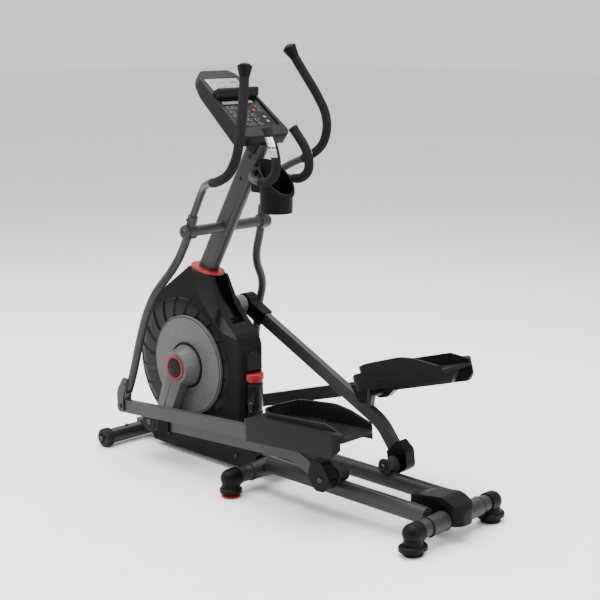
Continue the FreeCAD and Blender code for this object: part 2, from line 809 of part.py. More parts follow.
def leg_covers(side):
    """Plastic cover over the crank pin end and the curved cover over the roller end."""
    y0 = S.leg_y - S.leg_width / 2
    y1 = S.leg_y + S.leg_width / 2
    low = side * (y0 - 10)
    high = side * (y1 + 10)
    half = S.leg_depth / 2
    head = rod(42, (0, low, 0), (0, high, 0))
    sleeve = side_prism(rounded([(0, -30), (112, -half - 4), (112, half + 4), (0, 30)],
                                [0, 4, 4, 0]), low, high)
    bar = side_prism(rounded([(-60, -half), (200, -half), (200, half), (-60, half)],
                             [20, 0, 0, 20]), side * y0, side * y1)
    round_end = rod(half + 0.02, (0, side * y0, 0), (0, side * y1, 0))
    pin = rod(9.02, (0, side * 100, 0), (0, side * 300, 0))
    front = head.fuse(sleeve).cut([bar, round_end, pin])
    turn = math.radians(-4.2)
    wheel = V(S.leg_chord * math.cos(turn), 0, S.leg_chord * math.sin(turn))
    rear = side_prism(rounded([(868, -66), (892, 2), (940, -8), (976, -62), (950, -112),
                               (904, -112)], [4, 6, 26, 26, 26, 24]), low, high)
    tongue = rod(19.02, (wheel.x, side * (y0 - 0.02), wheel.z),
                 (wheel.x, side * (y1 + 0.02), wheel.z))
    axle = rod(8.02, (wheel.x, side * 100, wheel.z), (wheel.x, side * 182.02, wheel.z))
    back = rear.cut([side_prism(leg_outline(700), side * y0, side * y1), tongue, axle])
    feature("leg_covers_" + side_name(side), Part.makeCompound([front, back]),
            leg_place(side))


def roller(side):
    """Hourglass roller that straddles the round top of the rail."""
    half = S.roller_width / 2
    bore = 8 + S.running_gap
    waist = S.roller_waist
    flange = S.roller_flange
    neck = 21
    groove = Part.Arc(V(-neck, flange, 0), V(0, waist, 0), V(neck, flange, 0))
    edges = [line((-half, bore), (half, bore)), line((half, bore), (half, flange - 3)),
             line((half, flange - 3), (half - 3, flange)), line((half - 3, flange),
                                                                (neck, flange)),
             groove, line((-neck, flange), (-half + 3, flange)),
             line((-half + 3, flange), (-half, flange - 3)),
             line((-half, flange - 3), (-half, bore))]
    centre = roller_centre(side)
    place = FreeCAD.Placement(V(centre.x, side * S.rail_y, centre.z),
                              FreeCAD.Rotation(V(0, 0, 1), 90))
    label = "roller_" + side_name(side)
    keep(turned_body(label, edges, place), label)


def swing_angle(side):
    """Lower pivot's angle forward of straight down, in degrees."""
    return 24.6 if side < 0 else 11.0


def lower_pivot(side):
    turn = math.radians(swing_angle(side))
    return V(S.pivot_x - S.swing_length * math.sin(turn), 0,
             S.pivot_z - S.swing_length * math.cos(turn))


def arm_pitch(side):
    """Elevation of the pedal arm from its front pivot to the hinge on the leg."""
    start = lower_pivot(side)
    hinge = on_leg(side, S.hinge_along, S.hinge_above)
    chord = math.degrees(math.atan2(hinge.z - start.z, hinge.x - start.x))
    return chord + 1.8


def arm_place(side):
    return FreeCAD.Placement(lower_pivot(side),
                             FreeCAD.Rotation(V(0, 1, 0), -arm_pitch(side)))


def hinge_on_arm(side):
    """Hinge centre in the pedal arm's own frame."""
    hinge = on_leg(side, S.hinge_along, S.hinge_above)
    return arm_place(side).inverse().multVec(V(hinge.x, 0, hinge.z))


def pedal_arm(side):
    """Rectangular arm with the hinge axle that crosses above the leg."""
    half = S.arm_depth / 2
    y0 = S.arm_inner_y
    y1 = S.arm_outer_y
    hinge = hinge_on_arm(side)
    outline = rounded([(-26, -half), (1090, -half), (1130, half), (-26, half)],
                      [16, 10, 10, 16])
    bar = side_prism(outline, side * y0, side * y1)
    axle = rod(10, (hinge.x, side * 140, hinge.z), (hinge.x, side * y0, hinge.z))
    gusset = side_prism(rounded([(hinge.x - 60, -half + 2), (hinge.x - 20, hinge.z - 22),
                                 (hinge.x + 20, hinge.z - 22), (hinge.x + 60, -half + 2),
                                 (hinge.x + 60, 10), (hinge.x - 60, 10)], [4, 16, 16, 4, 4, 4]),
                        side * (y0 - 8), side * (y1 - 2))
    feature("pedal_arm_" + side_name(side), bar.multiFuse([axle, gusset]).removeSplitter(),
            arm_place(side))


def foot_plate(side):
    """Tray with a raised rounded wall at the inside and front, and an outer skirt."""
    inner = S.plate_inner_y
    outer = S.plate_outer_y
    start = S.plate_start
    end = S.plate_end
    plan = rounded([(start, inner), (end, inner), (end, outer), (start, outer)],
                   [86, 30, 34, 26])
    if side < 0:
        plan = rounded([(start, -inner), (end, -inner), (end, -outer), (start, -outer)],
                       [86, 30, 34, 26])
    profile = rounded([(start, -27), (end - 40, -27), (end, 8), (end, 52), (end - 110, 92),
                       (start + 290, 106), (start + 120, 100), (start + 24, 78), (start, 30)],
                      [0, 10, 20, 12, 120, 200, 120, 20, 6])
    block = plan_prism(plan, -60, 140).common(side_prism(profile, side * 80, side * 300))
    well_low = inner + 11
    well_high = outer - 34
    well_plan = rounded([(start + 60, side * well_low), (end + 60, side * well_low),
                         (end + 60, side * well_high), (start + 60, side * well_high)],
                        [70, 0, 0, 70])
    well = plan_prism(well_plan, 40, 200)
    shoulder = side_prism(rounded([(start - 10, 46), (start + 60, 68), (end + 20, 60),
                                   (end + 20, 220), (start - 10, 220)], [0, 60, 0, 0, 0]),
                          side * 80, side * 300)
    rim_plan = rounded([(start + 50, side * (inner - 5)), (end + 60, side * (inner - 5)),
                        (end + 60, side * (well_high + 8)), (start + 50, side * (well_high + 8))],
                       [78, 0, 0, 78])
    shoulder = shoulder.cut(plan_prism(rim_plan, 0, 300))
    slant = front_prism(polygon([(side * (inner - 9), 108), (side * (outer + 20), 74),
                                 (side * (outer + 20), 300), (side * (inner - 9), 300)]),
                        start - 20, end + 20)
    under = side_prism(polygon([(start - 5, -60), (end + 5, -60), (end + 5, 26.3),
                                (start - 5, 26.3)]),
                       side * (inner + 8), side * (S.arm_outer_y + 0.3))
    inner_trim = side_prism(polygon([(start - 5, -60), (end + 5, -60), (end + 5, 4),
                                     (start - 5, 4)]), side * (inner - 5), side * (inner + 9))
    solid = block.cut(well).cut(shoulder).cut(slant).cut(under).cut(inner_trim)
    hinge = hinge_on_arm(side)
    bracket = side_prism(rounded([(hinge.x - 44, 28), (hinge.x - 20, hinge.z - 20),
                                  (hinge.x + 20, hinge.z - 20), (hinge.x + 44, 28)],
                                 [0, 14, 14, 0]), side * 126, side * 140)
    feature("foot_plate_" + side_name(side), solid.fuse(bracket).removeSplitter(),
            arm_place(side))


# ---- swing arms and handles --------------------------------------------------------------

def swing_place(side):
    """Turns a point drawn for the left arm's rest pose to this arm's own pose."""
    centre = V(S.pivot_x, 0, S.pivot_z)
    return FreeCAD.Placement(V(0, 0, 0),
                             FreeCAD.Rotation(V(0, 1, 0), swing_angle(side) - swing_angle(-1)),
                             centre)


SWING_PATH = [(-290, 990, 185), (-318, 916, 185), (-388, 800, 188), (-432, 700, 254),
              (-486, 612, 255), (-532, 496, 255), (-578, 352, 255), (-604, 292, 255)]
HANDLE_PATH = [(-287, 999, 185), (-250, 1066, 187), (-205, 1112, 205), (-140, 1137, 240),
               (-60, 1150, 268), (5, 1180, 272), (42, 1240, 270), (50, 1300, 262),
               (38, 1380, 238), (21, 1450, 214), (6, 1510, 196)]
GRIP_START = 4      # index of the handle point where the grip begins


def sided(points, side):
    return [(x, side * y, z) for x, z, y in points]


def swing_socket(side, radius):
    """Socket above the pivot that the handle tube plugs into, drawn for the left's rest pose."""
    return rod(radius, (-299.6, side * 185, 962.6), (-287.5, side * 185, 998))


def swing_arm(side):
    """Lower swing arm: pivot sleeve, cranked tube and the two banana plates at its foot."""
    tube = bent_tube(sided(SWING_PATH, side), S.arm_tube_radius)
    socket = swing_socket(side, 19)
    sleeve = rod(28, (S.pivot_x, side * 168.3, S.pivot_z), (S.pivot_x, side * 201.7, S.pivot_z))
    bore = rod(S.pivot_radius + S.running_gap, (S.pivot_x, side * 150, S.pivot_z),
               (S.pivot_x, side * 220, S.pivot_z))
    foot = lower_pivot(-1)
    plate = rounded([(foot.x - 14, foot.z - 22), (foot.x + 20, foot.z - 22),
                     (foot.x + 20, foot.z + 40), (foot.x + 52, foot.z + 118),
                     (foot.x + 24, foot.z + 124), (foot.x - 18, foot.z + 60)],
                    [14, 16, 60, 10, 20, 60])
    outer = side_prism(plate, side * 271.2, side * 278)
    inner = side_prism(plate, side * 236, side * 244.6)
    block = side_prism(rounded([(foot.x - 2, foot.z + 62), (foot.x + 34, foot.z + 54),
                                (foot.x + 52, foot.z + 104), (foot.x + 20, foot.z + 112)],
                               [6, 6, 6, 6]), side * 240, side * 275)
    bolt = rod(10, (foot.x, side * 277, foot.z), (foot.x, side * 284, foot.z))
    arm = tube.multiFuse([socket, sleeve, outer, inner, block, bolt]).cut(bore)
    arm.Placement = swing_place(side).multiply(arm.Placement)
    feature("swing_arm_" + side_name(side), arm.removeSplitter())


def handle_tube(side):
    """Upper handle: bare tube up to where the grip begins."""
    points = split_path(sided(HANDLE_PATH, side), GRIP_START)[0]
    tube = bent_tube(points, 14)
    socket = swing_socket(side, 19.02)
    solid = tube.cut(socket)
    solid.Placement = swing_place(side)
    feature("handle_tube_" + side_name(side), solid)


def handle_grip(side):
    """Foam grip along the upper handle with a flared end cap."""
    points = split_path(sided(HANDLE_PATH, side), GRIP_START)[1]
    grip = bent_tube(points, 17)
    top = V(*points[-1])
    along = (top - V(*points[-2])).normalize()
    cap = Part.makeCone(17, 27, 42, top, along)
    dome = Part.makeSphere(34, top + along * 21).common(
        Part.makeCylinder(27, 16, top + along * 42, along))
    solid = grip.multiFuse([cap, dome])
    solid.Placement = swing_place(side)
    feature("handle_grip_" + side_name(side), solid.removeSplitter())


# ---- console, fixed bars, cup and bottle -------------------------------------------------

CONSOLE_PLACE = FreeCAD.Placement(V(-348, 0, 1502),
                                  FreeCAD.Rotation(V(0, 1, 0), S.console_tilt))


def console_body():
    """Tilted console case with a screen window, a recessed key panel and a rounded back."""
    half = S.console_width / 2
    length = S.console_length
    crown = -S.console_crown
    plan = rounded([(crown, -half + 22), (length, -half), (length, half), (crown, half - 22)],
                   [60, 38, 38, 60])
    low = -S.console_depth - 10
    profile = rounded([(crown, 0), (length, 0), (length + 4, -34), (length - 20, low - 8),
                       (60, low), (crown, -26)], [6, 10, 14, 20, 30, 14])
    case = plan_prism(plan, -80, 20).common(side_prism(profile, -140, 140))
    window = plan_prism(rounded_box_edges(14, -82, 94, 82, 8), -6, 10)
    panel = plan_prism(rounded_box_edges(134, -98, 290, 98, 10), -9, 10)
    jack = plan_prism(rounded_box_edges(304, -12, 322, 12, 5), -8, 10)
    neck = Part.makeBox(84, 68, 52, V(258, -34, -S.console_depth - 44))
    case = case.cut([window, panel, jack]).fuse(neck)
    case.Placement = CONSOLE_PLACE
    feature("console_body", case.cut(mast_prism(0.1, MAST_TOP, 400, 0.1)).removeSplitter())


def console_screen():
    plan = rounded_box_edges(14.2, -81.8, 93.8, 81.8, 7.8)
    lens = plan_prism(plan, -6, -2)
    feature("console_screen", lens, CONSOLE_PLACE)


BUTTONS = {"start": (200, -34, 6), "stop": (200, 34, 6), "up": (238, 60, 6), "down": (262, 60, 6)}


def key_panel():
    """Membrane panel with a narrow display strip and wells for the raised keys."""
    panel = plan_prism(rounded_box_edges(134.2, -97.8, 289.8, 97.8, 9.8), -9, -5)
    wells = []
    for along, across, radius in BUTTONS.values():
        wells.append(Part.makeCylinder(radius + 0.4, 3, V(along, across, -8)))
    feature("key_panel", panel.cut(wells), CONSOLE_PLACE)


def console_buttons():
    for name, (along, across, radius) in BUTTONS.items():
        key = Part.makeCylinder(radius, 4.2, V(along, across, -6.5))
        top = [e for e in key.Edges if e.BoundBox.ZMin > -2.4 and e.Length > 10]
        feature("button_" + name, key.makeFillet(1, top), CONSOLE_PLACE)


def reading_ledge():
    profile = rounded([(99, 0.05), (132, 0.05), (136, 12), (124, 34), (114, 38), (98, 14)],
                      [2, 2, 6, 5, 5, 8])
    ledge = side_prism(profile, -98, 98)
    ends = [e for e in ledge.Edges if abs(e.BoundBox.YMin) > 97 and e.BoundBox.YLength < 0.1
            and e.BoundBox.ZMin > 1]
    ledge = ledge.makeFillet(1.5, ends)
    feature("reading_ledge", ledge, CONSOLE_PLACE)


FIXED_PATH = [(-122, 1160, 24), (-112, 1152, 60), (-66, 1138, 84), (0, 1136, 86), (42, 1166, 85),
              (48, 1208, 83), (32, 1256, 78), (-12, 1316, 66)]
FIXED_GRIP_START = 3


def fixed_handlebar():
    """Fixed front bar: bracket on the mast and a bare tube out to each grip."""
    parts = []
    for side in SIDES:
        parts.append(bent_tube(split_path(sided(FIXED_PATH, side), FIXED_GRIP_START)[0], 12.5))
    cross = rod(12.5, (-122, -30, 1160), (-122, 30, 1160))
    clamp = rod(20, (-122, -22, 1160), (-122, 22, 1160))
    centre = mast_point(1160)
    web = Part.makeBox(70, 30, 34, V(centre.x, -15, 1143))
    solid = clamp.multiFuse(parts + [cross, web])
    feature("fixed_handlebar", solid.cut(mast_prism(0, 1160, 200, 200)).removeSplitter())


def fixed_grips():
    """Hook-shaped grips with the pulse plates' raised bands."""
    grips = []
    for side in SIDES:
        points = split_path(sided(FIXED_PATH, side), FIXED_GRIP_START)[1]
        grip = bent_tube(points, 17)
        tip = V(*points[-1])
        along = (tip - V(*points[-2])).normalize()
        cap = Part.makeCylinder(18, 10, tip, along)
        grips.append(grip.fuse(cap))
    feature("fixed_grips", Part.makeCompound(grips))


CUP_X = -38


def above_slope(drop):
    """Everything above the cup's sloping rim, lowered by drop."""
    high = 1309.4 - drop
    low = 914.6 - drop
    return side_prism(polygon([(CUP_X - 162, high), (CUP_X + 238, low), (CUP_X + 238, 1500),
                               (CUP_X - 162, 1500)]), -120, 120)


def cup_holder():
    """Round cup with a rim that slopes up to the mast, and its mounting tongue."""
    radius = S.cup_radius
    low = 1018
    base = V(CUP_X, 0, low)
    shell = Part.makeCone(radius - 5, radius, 230, base).cut(above_slope(4))
    rim = Part.makeCylinder(radius + 3, 230, base).cut(Part.makeCylinder(radius - 5, 230, base))
    rim = rim.cut(above_slope(0)).common(above_slope(17))
    outer = [e for e in rim.Edges if e.BoundBox.YLength > 2 * radius]
    rim = rim.makeFillet(4, outer)
    inner = Part.makeCylinder(radius - 5, 260, V(CUP_X, 0, low + 4))
    lower_inner = Part.makeCone(radius - 10, radius - 5, 80, V(CUP_X, 0, low + 4))
    well = inner.cut(Part.makeBox(200, 200, 84, V(CUP_X - 100, -100, low))).fuse(lower_inner)
    tongue = Part.makeBox(60, 40, 57.5, V(-150, -20, 1085))
    bar = rod(20.3, (-122, -40, 1160), (-122, 40, 1160))
    solid = shell.multiFuse([rim, tongue]).cut([well, mast_prism(0, 1100, 400, 400), bar])
    feature("cup_holder", solid.removeSplitter())


BOTTLE_X = -166


def water_bottle():
    """Straight bottle with a neck, standing in the pocket behind the shroud."""
    radius = S.bottle_radius
    profile = [(0, 0), (0, radius - 4), (4, radius), (60, radius), (66, radius - 2),
               (84, radius - 2), (90, radius), (168, radius), (178, radius - 8), (182, radius - 8),
               (182, 0)]
    place = FreeCAD.Placement(V(BOTTLE_X, 0, 176 + S.air_gap), FreeCAD.Rotation(V(0, 1, 0), -90))
    keep(turned_body("water_bottle", polygon(profile), place), "water_bottle")


def bottle_cap():
    radius = S.bottle_radius
    low = 176 + S.air_gap + 182
    base = Part.makeCylinder(radius - 1, 10, V(BOTTLE_X, 0, low))
    cap = Part.makeCylinder(radius + 3, 22, V(BOTTLE_X, 0, low + 10))
    top = [e for e in cap.Edges if e.BoundBox.ZMin > low + 31 and e.Length > 50]
    feature("bottle_cap", base.fuse(cap.makeFillet(5, top)).removeSplitter())


# ---- small fixed pieces ------------------------------------------------------------------

def power_inlet():
    """Round low-voltage inlet on the side of the beam's front end."""
    barrel = rod(11, (-735, -31 - 12, 56), (-735, -30, 56))
    bore = rod(4, (-735, -31 - 13, 56), (-735, -34, 56))
    feature("power_inlet", barrel.cut(bore))


def fasteners():
    """Bolt heads on the frame, all the same size."""
    spots = [((-S.stab_reach + 5, -120, S.wheel_radius + S.stab_radius), V(0, 0, 1)),
             ((-S.stab_reach + 5, 120, S.wheel_radius + S.stab_radius), V(0, 0, 1)),
             ((-200, -62, 66), V(0, -1, 0)), ((-200, 62, 66), V(0, 1, 0)),
             ((-600, -62, 66), V(0, -1, 0)), ((-600, 62, 66), V(0, 1, 0))]
    for height in (1130, 1215):
        centre = mast_point(height)
        spots.append(((centre.x, -S.mast_width / 2, centre.z), V(0, -1, 0)))
        spots.append(((centre.x, S.mast_width / 2, centre.z), V(0, 1, 0)))
    heads = []
    for base, out in spots:
        head = Part.makeCylinder(7, 5, V(*base), out)
        socket = Part.makeCylinder(3.2, 3, V(*base) + out * 3, out)
        heads.append(head.cut(socket))
    feature("fasteners", Part.makeCompound(heads))


def build():
    front_stabiliser()
    middle_stabiliser()
    rear_stabiliser()
    foot_caps()
    rear_cover()
    main_frame()
    lower_cover()
    mast()
    mast_collar()
    pivot_tube()
    shroud_top()
    crank_axle()
    crank_caps()
    crank_discs()
    drive_pulley()
    flywheel()
    drive_belt()
    console_body()
    console_screen()
    key_panel()
    console_buttons()
    reading_ledge()
    fixed_handlebar()
    fixed_grips()
    cup_holder()
    water_bottle()
    bottle_cap()
    power_inlet()
    fasteners()
    for side in SIDES:
        transport_wheel(side)
        name = side_name(side)
        levelling_foot("mid_foot_" + name, S.mid_x, side * S.mid_foot_y)
        levelling_foot("rear_foot_" + name, S.stab_reach, side * S.rear_foot_y)
        rail(side)
        shroud_half(side)
        crank_arm(side)
        leg(side)
        leg_covers(side)
        roller(side)
        pedal_arm(side)
        foot_plate(side)
        swing_arm(side)
        handle_tube(side)
        handle_grip(side)


def check():
    """Stops if any object failed or any sub-part isn't a valid solid."""
    for obj in doc.Objects:
        if "Invalid" in obj.State or "Error" in obj.State:
            raise RuntimeError(obj.Name + " failed: " + str(obj.State))
    for obj in nodes:
        if obj.Shape.isNull() or not obj.Shape.isValid() or not obj.Shape.Solids:
            raise RuntimeError(obj.Label + " isn't a valid solid")


def export():
    os.makedirs("parts", exist_ok=True)
    for obj in nodes:
        obj.Shape.exportStep(os.path.join("parts", obj.Label + ".step"))


build()
doc.recompute()
check()
export()
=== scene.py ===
"""Elliptical trainer: finishes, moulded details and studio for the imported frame."""
import json
from math import pi, radians

import bmesh
import bpy
from mathutils import Matrix, Vector

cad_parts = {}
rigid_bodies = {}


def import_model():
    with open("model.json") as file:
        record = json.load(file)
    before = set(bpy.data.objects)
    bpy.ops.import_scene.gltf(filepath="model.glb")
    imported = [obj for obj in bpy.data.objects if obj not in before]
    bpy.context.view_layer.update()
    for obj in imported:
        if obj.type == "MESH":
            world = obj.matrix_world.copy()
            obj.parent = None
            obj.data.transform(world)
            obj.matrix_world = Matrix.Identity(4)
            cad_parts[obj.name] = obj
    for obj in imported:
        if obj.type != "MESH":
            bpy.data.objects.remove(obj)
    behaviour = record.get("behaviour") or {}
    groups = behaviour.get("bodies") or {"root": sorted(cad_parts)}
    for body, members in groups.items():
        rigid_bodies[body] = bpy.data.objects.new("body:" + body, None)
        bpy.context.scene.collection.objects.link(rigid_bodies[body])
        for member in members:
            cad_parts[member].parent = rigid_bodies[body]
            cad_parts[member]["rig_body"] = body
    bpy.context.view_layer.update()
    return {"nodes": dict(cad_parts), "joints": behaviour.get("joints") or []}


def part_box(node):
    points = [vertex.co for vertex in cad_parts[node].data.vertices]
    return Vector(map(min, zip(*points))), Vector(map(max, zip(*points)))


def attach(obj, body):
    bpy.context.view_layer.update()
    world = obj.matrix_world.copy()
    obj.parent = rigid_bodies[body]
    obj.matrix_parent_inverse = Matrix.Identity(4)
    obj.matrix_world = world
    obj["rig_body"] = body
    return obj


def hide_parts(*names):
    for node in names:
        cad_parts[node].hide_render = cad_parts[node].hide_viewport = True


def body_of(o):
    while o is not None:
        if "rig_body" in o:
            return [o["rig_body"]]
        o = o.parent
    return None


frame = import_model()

nodes = frame["nodes"]
joints = {joint["name"]: joint for joint in frame["joints"]}
SIDES = {"left": -1, "right": 1}


def joint_line(name):
    """Where a cross axis meets the middle plane of the machine."""
    x, _, z = joints[name]["pos_m"]
    return Vector((x, 0, z))


# ---- shader sums ------------------------------------------------------------------------


class Wire:
    """A node output that can be added, subtracted and multiplied like a number."""

    def __init__(self, finish, socket):
        self.finish = finish
        self.socket = socket

    def sum(self, operation, first, second):
        return self.finish.add("ShaderNodeMath", {"operation": operation}, {0: first, 1: second})

    def __add__(self, other):
        return self.sum("ADD", self, other)

    def __radd__(self, other):
        return self.sum("ADD", other, self)

    def __sub__(self, other):
        return self.sum("SUBTRACT", self, other)

    def __rsub__(self, other):
        return self.sum("SUBTRACT", other, self)

    def __mul__(self, other):
        return self.sum("MULTIPLY", self, other)

    def __rmul__(self, other):
        return self.sum("MULTIPLY", other, self)


class Finish:
    """A material built round one Principled shader, in the object's own coordinates."""

    def __init__(self, name, roughness, metallic=0.0, **fixed):
        self.material = bpy.data.materials.new(name)
        self.material.use_nodes = True
        self.tree = self.material.node_tree
        self.shader = self.tree.nodes["Principled BSDF"]
        self.shader.inputs["Roughness"].default_value = roughness
        self.shader.inputs["Metallic"].default_value = metallic
        for socket, value in fixed.items():
            self.shader.inputs[socket.replace("_", " ")].default_value = value
        self.place = self.add("ShaderNodeTexCoord", {}, {}, "Object")

    def add(self, kind, settings, inputs, output=0):
        """Adds one node: its settings first, then each input's value or link."""
        node = self.tree.nodes.new(kind)
        for name, value in settings.items():
            setattr(node, name, value)
        for name, value in inputs.items():
            if isinstance(value, Wire):
                self.tree.links.new(value.socket, node.inputs[name])
            else:
                node.inputs[name].default_value = value
        return Wire(self, node.outputs[output])

    def feed(self, **inputs):
        for name, wire in inputs.items():
            self.tree.links.new(wire.socket, self.shader.inputs[name.replace("_", " ")])
        return self

    def noise(self, scale, detail=2.0, roughness=0.5, at=None):
        return self.add("ShaderNodeTexNoise", {}, {"Vector": at or self.place, "Scale": scale,
                                                   "Detail": detail, "Roughness": roughness})

    def cells(self, scale):
        return self.add("ShaderNodeTexVoronoi", {}, {"Vector": self.place, "Scale": scale},
                        "Distance")

    def stretched(self, x, y, z):
        return self.add("ShaderNodeMapping", {}, {"Vector": self.place, "Scale": (x, y, z)})

    def step(self, value, low, high, bottom=0.0, top=1.0):
        return self.add("ShaderNodeMapRange", {"clamp": True},
                        {"Value": value, "From Min": low, "From Max": high,
                         "To Min": bottom, "To Max": top})

    def mix(self, factor, first, second):
        node = self.tree.nodes.new("ShaderNodeMix")
        node.data_type = "RGBA"
        for index, value in ((0, factor), (6, first), (7, second)):
            if isinstance(value, Wire):
                self.tree.links.new(value.socket, node.inputs[index])
            elif index:
                node.inputs[index].default_value = (*value, 1.0)
            else:
                node.inputs[index].default_value = value
        return Wire(self, node.outputs[2])

    def axis(self, name):
        return self.add("ShaderNodeSeparateXYZ", {}, {"Vector": self.place}, name)

    def bump(self, height, distance, strength=1.0):
        return self.add("ShaderNodeBump", {}, {"Height": height, "Distance": distance,
                                               "Strength": strength})

    def facing_up(self):
        normal = self.add("ShaderNodeNewGeometry", {}, {}, "Normal")
        return self.add("ShaderNodeSeparateXYZ", {}, {"Vector": normal}, "Z")


def darker(colour, share):
    return tuple(channel * share for channel in colour)


def painted(name, colour, roughness=0.38):
    """Satin powder coat on steel: orange peel, soft clouds in the colour, dust on top faces."""
    f = Finish(name, roughness, Specular_IOR_Level=0.28)
    clouds = f.noise(9, 3)
    peel = f.noise(650, 2)
    rubbed = f.step(f.noise(34, 6, 0.7), 0.6, 0.78)
    tone = f.mix(clouds, darker(colour, 0.84), darker(colour, 1.16))
    tone = f.mix(rubbed * 0.25, tone, darker(colour, 1.9))
    dust = f.step(f.facing_up(), 0.75, 1.0, 0.0, 0.04)
    tone = f.mix(dust, tone, (0.32, 0.32, 0.32))
    return f.feed(Base_Color=tone, Roughness=roughness + 0.1 * (clouds - 0.5) + rubbed * 0.12,
                  Normal=f.bump(peel, 0.00025, 0.35))


def moulded(name, colour, roughness=0.46, grain=1100, depth=0.00025):
    """Textured moulded plastic: spark-eroded grain and faint flow clouds."""
    f = Finish(name, roughness, Specular_IOR_Level=0.09)
    clouds = f.noise(7, 4)
    pits = f.cells(grain)
    fine = f.noise(grain * 0.6, 3)
    tone = f.mix(clouds, darker(colour, 0.78), darker(colour, 1.25))
    scuff = f.step(f.noise(26, 7, 0.75, f.stretched(1, 1, 3)), 0.63, 0.8)
    tone = f.mix(scuff * 0.3, tone, darker(colour, 2.6))
    return f.feed(Base_Color=tone, Roughness=roughness - 0.08 * fine + scuff * 0.14,
                  Normal=f.bump(pits + 0.6 * fine, depth, 0.5))


def glossy(name, colour):
    """Polished plastic with a little waviness and hairline rubs."""
    f = Finish(name, 0.13, Specular_IOR_Level=0.2)
    wave = f.noise(24, 2)
    hairs = f.step(f.noise(130, 5, 0.8, f.stretched(1, 0.2, 4)), 0.62, 0.72)
    smudge = f.step(f.noise(14, 5), 0.5, 0.8)
    tone = f.mix(wave, darker(colour, 0.7), darker(colour, 1.3))
    return f.feed(Base_Color=tone, Roughness=0.12 + smudge * 0.12 + hairs * 0.1,
                  Normal=f.bump(wave, 0.002, 0.12))


def speckled():
    """The side discs: silver plastic with a dense sparkle grain."""
    f = Finish("silver_speckle", 0.42, 0.15, Specular_IOR_Level=0.25)
    fleck = f.noise(420, 4, 0.8)
    cell = f.cells(560)
    across = f.noise(5, 2)
    grey = f.mix(f.step(fleck, 0.36, 0.66), (0.03, 0.03, 0.03), (0.145, 0.145, 0.145))
    grey = f.mix(across * 0.3, grey, (0.075, 0.075, 0.077))
    return f.feed(Base_Color=grey, Roughness=f.step(cell, 0.1, 0.7, 0.32, 0.52),
                  Normal=f.bump(fleck + cell, 0.0005, 0.6))


def crank_silver():
    f = Finish("crank_silver", 0.34, 0.2, Specular_IOR_Level=0.3)
    brushed = f.noise(320, 3, 0.6, f.stretched(1, 1, 0.08))
    clouds = f.noise(8, 3)
    tone = f.mix(clouds, (0.062, 0.062, 0.064), (0.10, 0.10, 0.102))
    return f.feed(Base_Color=tone, Roughness=0.3 + 0.12 * brushed,
                  Normal=f.bump(brushed, 0.0002, 0.25))


def foam():
    """Closed-cell foam sleeve: tiny open pores on a dull skin."""
    colour = (0.0055, 0.0055, 0.006)
    f = Finish("foam_black", 0.85, Specular_IOR_Level=0.15)
    pores = f.cells(1500)
    lumps = f.noise(60, 5)
    tone = f.mix(f.step(pores, 0.15, 0.7), darker(colour, 0.5), darker(colour, 1.7))
    return f.feed(Base_Color=tone, Roughness=0.78 + lumps * 0.14,
                  Normal=f.bump(pores + 0.5 * lumps, 0.0006, 0.7))


def rubber(name, colour=(0.007, 0.007, 0.007)):
    f = Finish(name, 0.68, Specular_IOR_Level=0.15)
    bloom = f.noise(16, 5)
    grit = f.noise(800, 3)
    tone = f.mix(f.step(bloom, 0.35, 0.75), colour, darker(colour, 2.4))
    return f.feed(Base_Color=tone, Roughness=0.62 + bloom * 0.16,
                  Normal=f.bump(grit, 0.0003, 0.5))


def bare_steel(name, colour, roughness, streak):
    f = Finish(name, roughness, 1.0)
    lines = f.noise(500, 4, 0.6, f.stretched(*streak))
    stain = f.noise(30, 5)
    tone = f.mix(stain, darker(colour, 0.75), darker(colour, 1.1))
    return f.feed(Base_Color=tone, Roughness=roughness + 0.14 * (lines - 0.5),
                  Normal=f.bump(lines, 0.00015, 0.4))


def red_gloss():
    f = Finish("red_plastic", 0.3, Specular_IOR_Level=0.3)
    clouds = f.noise(18, 3)
    grain = f.noise(900, 2)
    tone = f.mix(clouds, (0.17, 0.004, 0.006), (0.25, 0.006, 0.009))
    return f.feed(Base_Color=tone, Roughness=0.26 + clouds * 0.1,
                  Normal=f.bump(grain, 0.00015, 0.3))


def lcd(name, light, dark):
    """Unlit display glass: a soft grey field with a faint cell grid beneath a clear coat."""
    f = Finish(name, 0.2, Coat_Weight=0.8, Coat_Roughness=0.04)
    wave = f.noise(12, 2)
    grid = f.cells(900)
    tone = f.mix(wave, dark, light)
    return f.feed(Base_Color=f.mix(f.step(grid, 0.4, 0.6) * 0.12, tone, dark),
                  Roughness=0.16 + wave * 0.08)


def smoked():
    """Dark tinted squeeze bottle, cloudy with handling marks."""
    f = Finish("smoke_bottle", 0.16, Specular_IOR_Level=0.14)
    haze = f.noise(20, 4)
    tone = f.mix(haze, (0.002, 0.002, 0.0022), (0.007, 0.007, 0.0075))
    return f.feed(Base_Color=tone, Roughness=0.12 + haze * 0.18,
                  Normal=f.bump(haze, 0.001, 0.15))


def track_paint():
    """Rail paint, with the roller's polished path along the crown."""
    colour = (0.015, 0.015, 0.016)
    f = Finish("track_paint", 0.36, Specular_IOR_Level=0.3)
    clouds = f.noise(8, 4)
    peel = f.noise(650, 2)
    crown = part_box("rail_left")[1][2]
    path = f.step(f.axis("Z"), crown - 0.0055, crown - 0.0015)
    streaks = f.noise(60, 5, 0.6, f.stretched(0.05, 4, 4))
    tone = f.mix(clouds, darker(colour, 0.8), darker(colour, 1.2))
    tone = f.mix(path * (0.4 + 0.5 * streaks), tone, (0.012, 0.012, 0.013))
    return f.feed(Base_Color=tone, Roughness=0.42 - path * 0.16 + streaks * 0.1,
                  Normal=f.bump(peel, 0.00025, 0.3))


